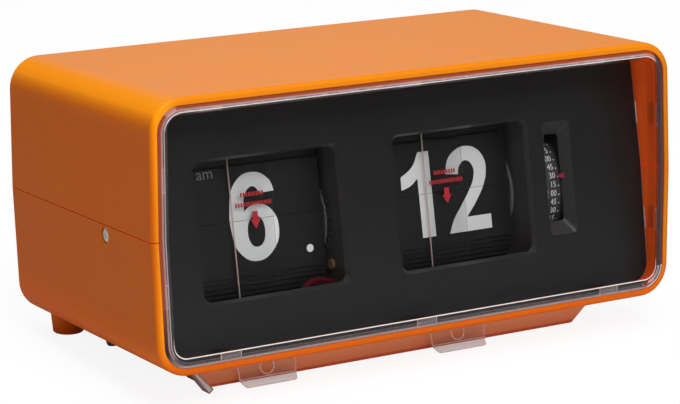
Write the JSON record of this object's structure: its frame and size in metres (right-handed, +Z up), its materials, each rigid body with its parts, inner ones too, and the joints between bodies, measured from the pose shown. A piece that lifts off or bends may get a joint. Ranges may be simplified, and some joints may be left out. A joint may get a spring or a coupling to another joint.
{
  "type": "flip number clock",
  "caption": "Retro desk alarm clock with an orange plastic case, leaned black face, split-leaf hour and minute drums, alarm dial, side set knobs and clear pull-out transport films.",
  "frame": {"origin": "centre of the clock's box at the level of the surface it stands on", "axes": "+Z up, the clock's face looks along -Y, +X to the right as seen from the front"},
  "size_m": [0.2108, 0.1128, 0.1009],
  "materials": {
    "orange_plastic": "moulded, satin gloss",
    "clear_plastic": "clear, polished",
    "panel_black": "matte",
    "leaf_black": "matte, light printed digits",
    "drum_plastic": "moulded",
    "frame_plastic": "moulded",
    "wheel_plastic": "moulded",
    "dial_plastic": "matte, light printed numerals",
    "red_plastic": "moulded",
    "black_rubber": "matte",
    "bright_steel": "bright",
    "brass": "turned",
    "cell_wrap": "plain wrap",
    "board_green": "lacquered board"
  },
  "bodies": {
    "case": {"upper_case": "orange_plastic", "lower_case": "orange_plastic", "case_screw_left": "bright_steel", "case_screw_right": "bright_steel", "rubber_bumper": "black_rubber", "front_lens": "clear_plastic", "face_panel": "panel_black", "alarm_pointer": "red_plastic", "clear_strip": "clear_plastic", "hour_leaf_pack": "leaf_black", "minute_leaf_pack": "leaf_black", "hour_lower_leaf": "leaf_black", "minute_lower_leaf": "leaf_black", "hour_leaf_catch": "frame_plastic", "minute_leaf_catch": "frame_plastic", "motor": "bright_steel", "chassis_left_plate": "frame_plastic", "chassis_middle_plate": "frame_plastic", "chassis_gear_plate": "frame_plastic", "chassis_right_plate": "frame_plastic", "tie_rod_top": "bright_steel", "tie_rod_rear": "bright_steel", "tie_rod_lower": "bright_steel", "shaft_bush_left": "brass", "shaft_bush_right": "brass", "chassis_screw_left_front": "bright_steel", "chassis_screw_left_rear": "bright_steel", "chassis_screw_right_front": "bright_steel", "chassis_screw_right_rear": "bright_steel", "front_screw": "brass", "alarm_contact": "brass", "battery": "cell_wrap", "battery_holder": "frame_plastic", "battery_contact": "bright_steel", "battery_spring": "bright_steel", "circuit_board": "board_green", "board_screw_left": "bright_steel", "board_screw_right": "bright_steel", "buzzer": "frame_plastic", "driver_chip": "frame_plastic", "alarm_switch_body": "frame_plastic", "red_lead": "red_plastic", "black_lead": "black_rubber"},
    "minute_train": {"minute_drum": "drum_plastic", "main_shaft": "bright_steel", "minute_pinion": "brass", "time_set_knob": "frame_plastic"},
    "hour_train": {"hour_drum": "drum_plastic"},
    "transfer_train": {"transfer_gear": "wheel_plastic", "transfer_pinion": "brass", "transfer_arbor": "bright_steel"},
    "motor_train": {"motor_pinion": "brass"},
    "alarm_setter": {"alarm_dial": "dial_plastic", "alarm_set_knob": "frame_plastic"},
    "hour_leaf": {"hour_flip_leaf": "leaf_black"},
    "minute_leaf": {"minute_flip_leaf": "leaf_black"},
    "hour_transport_film": {"hour_film": "clear_plastic"},
    "minute_transport_film": {"minute_film": "clear_plastic"},
    "alarm_switch": {"alarm_switch_slider": "frame_plastic"},
    "door": {"battery_door": "orange_plastic"}
  },
  "joints": [
    {"name": "minute_turn", "type": "hinge", "parent": "case", "child": "minute_train", "pos_m": [0.01818, -0.01484, 0.04653], "axis": [1, 0, 0], "continuous": true},
    {"name": "hour_turn", "type": "hinge", "parent": "case", "child": "hour_train", "pos_m": [-0.05592, -0.01484, 0.04653], "axis": [1, 0, 0], "continuous": true},
    {"name": "transfer_turn", "type": "hinge", "parent": "case", "child": "transfer_train", "pos_m": [-0.02342, -0.01014, 0.06699], "axis": [1, 0, 0], "continuous": true},
    {"name": "motor_pinion_turn", "type": "hinge", "parent": "case", "child": "motor_train", "pos_m": [-0.00942, -0.00008, 0.03502], "axis": [1, 0, 0], "continuous": true},
    {"name": "alarm_turn", "type": "hinge", "parent": "case", "child": "alarm_setter", "pos_m": [0.05673, -0.01484, 0.04653], "axis": [1, 0, 0], "continuous": true},
    {"name": "hour_flip", "type": "hinge", "parent": "case", "child": "hour_leaf", "pos_m": [-0.05592, -0.02969, 0.05245], "axis": [1, 0, 0], "range_deg": [0, 180], "deforming": ["hour_film"]},
    {"name": "minute_flip", "type": "hinge", "parent": "case", "child": "minute_leaf", "pos_m": [0.01818, -0.02969, 0.05245], "axis": [1, 0, 0], "range_deg": [0, 180], "deforming": ["minute_film"]},
    {"name": "hour_film_pull", "type": "slide", "parent": "case", "child": "hour_transport_film", "axis": [0, -0.1896, -0.9819], "range_m": [0, 0.066]},
    {"name": "minute_film_pull", "type": "slide", "parent": "case", "child": "minute_transport_film", "axis": [0, -0.1896, -0.9819], "range_m": [0, 0.066]},
    {"name": "alarm_switch_slide", "type": "slide", "parent": "case", "child": "alarm_switch", "axis": [1, 0, 0], "range_m": [0, 0.004]},
    {"name": "battery_door_swing", "type": "hinge", "parent": "case", "child": "door", "pos_m": [0.01758, 0.05224, 0.01268], "axis": [-1, 0, 0], "range_deg": [0, 100]}
  ],
  "couplings": [
    {"joint": "hour_turn", "follows": "minute_turn", "ratio": 0.041667},
    {"joint": "transfer_turn", "follows": "minute_turn", "ratio": -0.16667},
    {"joint": "motor_pinion_turn", "follows": "minute_turn", "ratio": -5}
  ]
}
